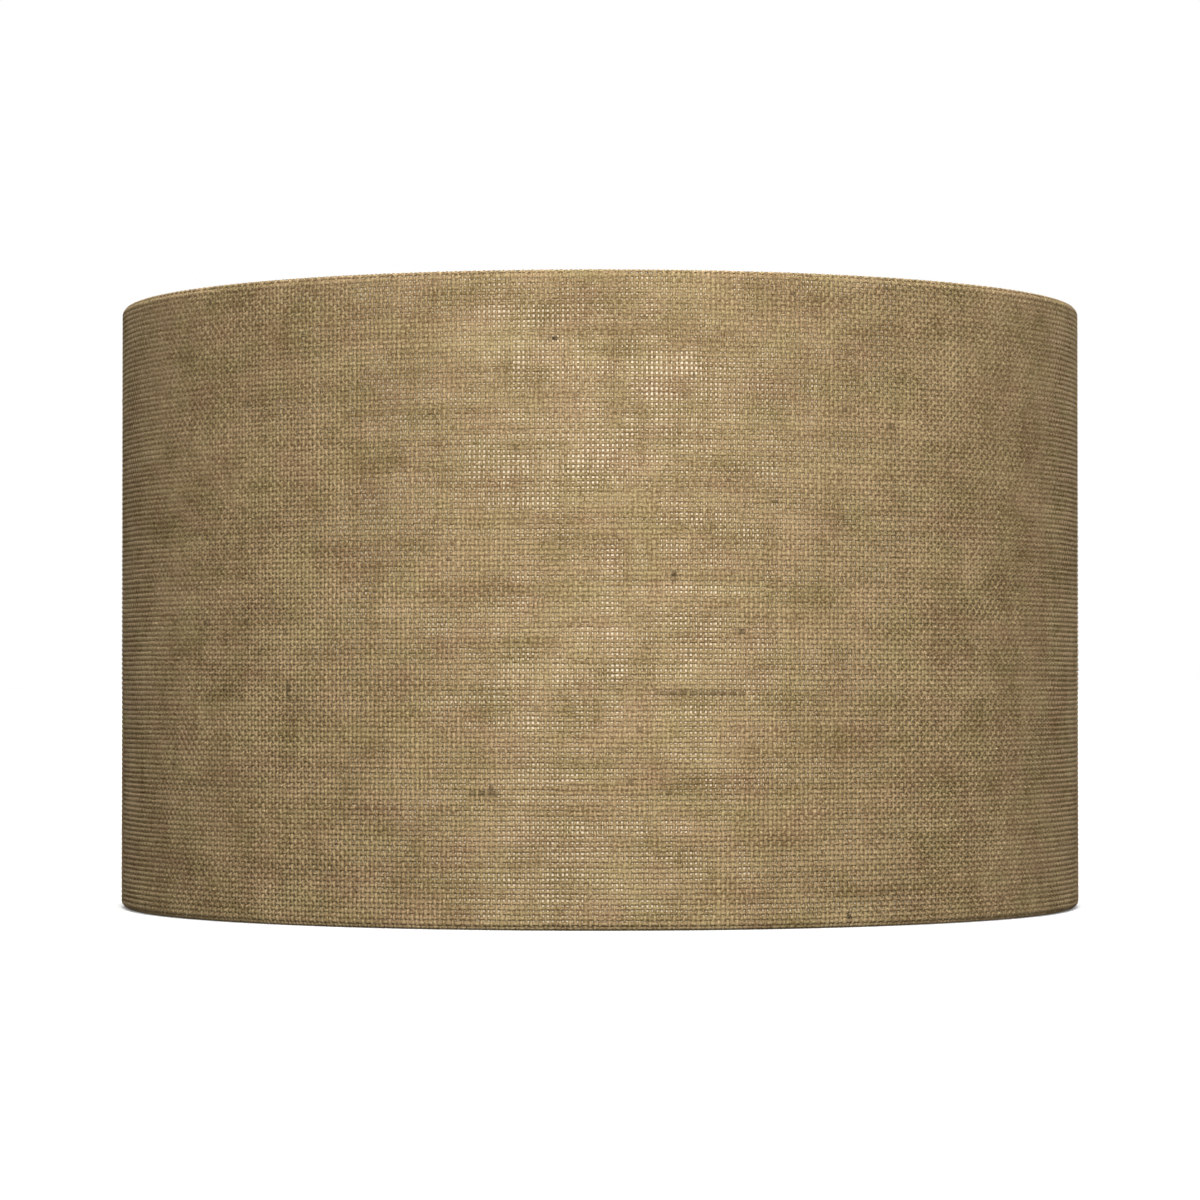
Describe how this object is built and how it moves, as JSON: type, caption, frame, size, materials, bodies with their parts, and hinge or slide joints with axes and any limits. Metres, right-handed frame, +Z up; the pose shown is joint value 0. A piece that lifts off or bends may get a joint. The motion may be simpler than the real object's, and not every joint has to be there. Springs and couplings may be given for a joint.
{
  "type": "lamp shade",
  "caption": "Straight drum lamp shade in natural jute hessian on a white liner, with rolled edges over wire rings and a dropped spoked carrier with a lift-out reducer.",
  "frame": {"origin": "on the shade's axis, level with its bottom edge", "axes": "+Z up along the shade's axis; the front is -Y and the seams are at the back, +Y"},
  "size_m": [0.4, 0.4009, 0.25],
  "materials": {
    "hessian": "natural jute, plain weave, matt",
    "liner": "white, smooth, slightly translucent",
    "tape": "clear film",
    "ring_wire": "zinc plated wire",
    "white_metal": "white powder coat",
    "white_plastic": "moulded, satin"
  },
  "bodies": {
    "shade": {"fabric_cover": "hessian", "fabric_seam_tape": "tape", "backing_sheet": "liner", "backing_seam_tape": "tape", "top_ring": "ring_wire", "bottom_ring": "ring_wire", "ring_tape_top": "tape", "ring_tape_bottom": "tape", "fitter_ring": "white_metal", "spoke_1": "white_metal", "spoke_2": "white_metal", "spoke_3": "white_metal"},
    "reducer": {"reducer_ring": "white_plastic"}
  },
  "joints": [
    {"name": "reducer_lift", "type": "slide", "parent": "shade", "child": "reducer", "axis": [0, 0, 1], "range_m": [0, 0.06]}
  ]
}
